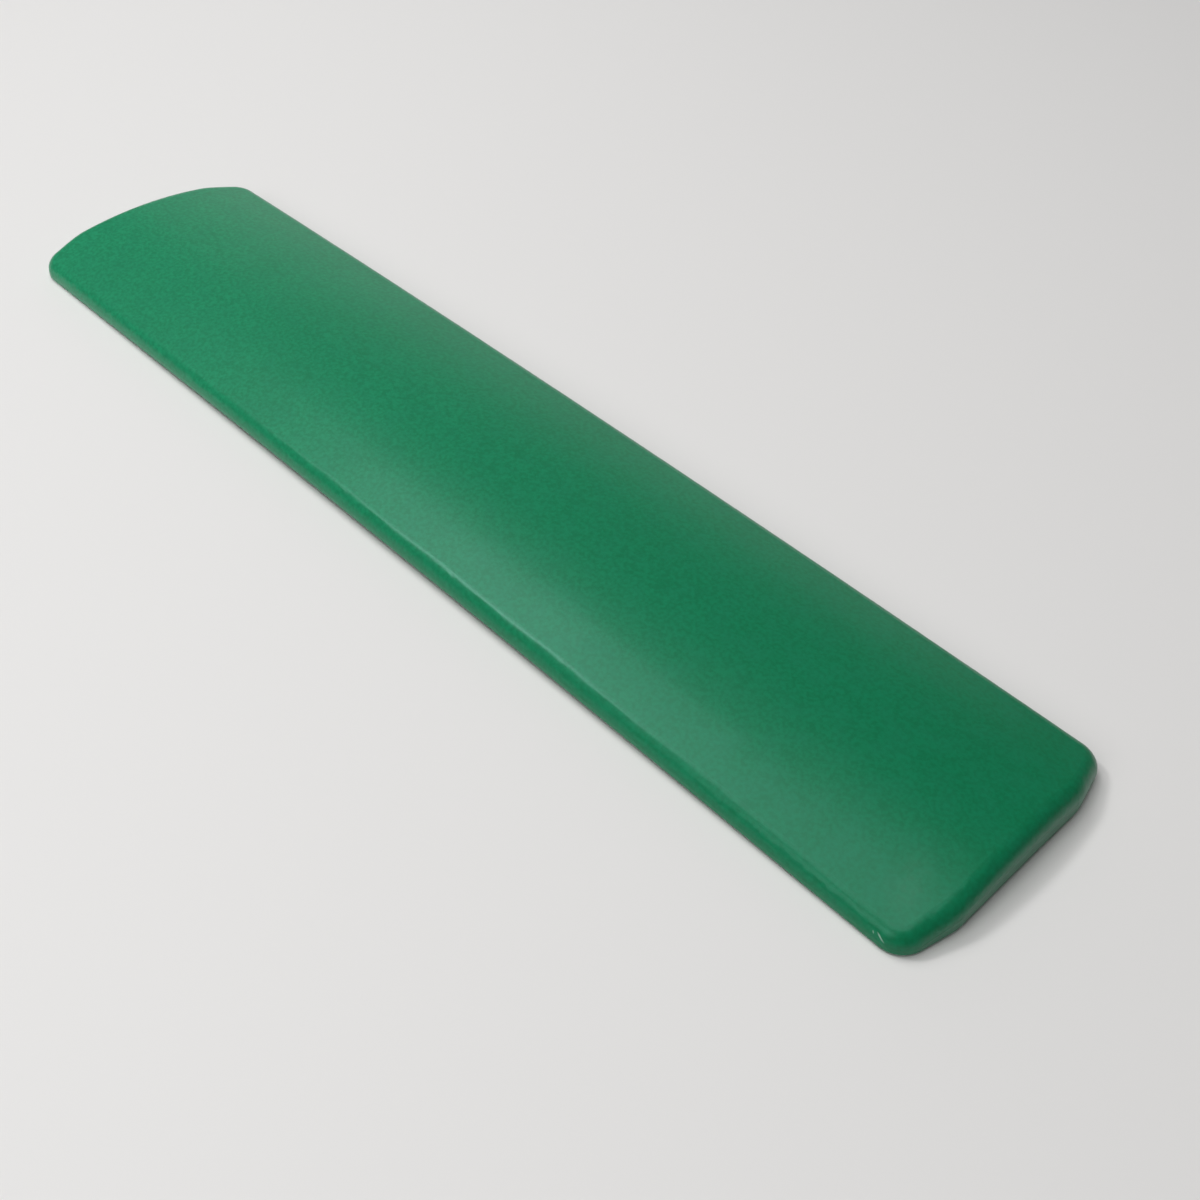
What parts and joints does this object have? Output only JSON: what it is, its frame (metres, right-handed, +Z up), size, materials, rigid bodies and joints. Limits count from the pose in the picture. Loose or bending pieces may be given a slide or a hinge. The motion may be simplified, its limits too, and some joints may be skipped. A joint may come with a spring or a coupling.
{
  "type": "straight slide",
  "caption": "Long plain slide board, crowned across, with a rolled rim, clipped corners, a closed underside and peg sockets at its head end.",
  "frame": {"origin": "middle of the footprint, on the surface that the board rests on", "axes": "+X along the board from the head end to the foot end, +Y across it, +Z up through the sliding face"},
  "size_m": [0.296, 0.065, 0.0105],
  "materials": {
    "slide_green": "satin",
    "panel_green": "fine grained",
    "screw_steel": "zinc plated",
    "bush_plastic": "satin",
    "pad_rubber": "matte"
  },
  "bodies": {
    "root": {"slide_shell": "slide_green", "base_panel": "panel_green", "panel_screws": "screw_steel", "left_peg_bush": "bush_plastic", "right_peg_bush": "bush_plastic", "left_head_pad": "pad_rubber", "right_head_pad": "pad_rubber", "left_foot_pad": "pad_rubber", "right_foot_pad": "pad_rubber"}
  },
  "joints": []
}
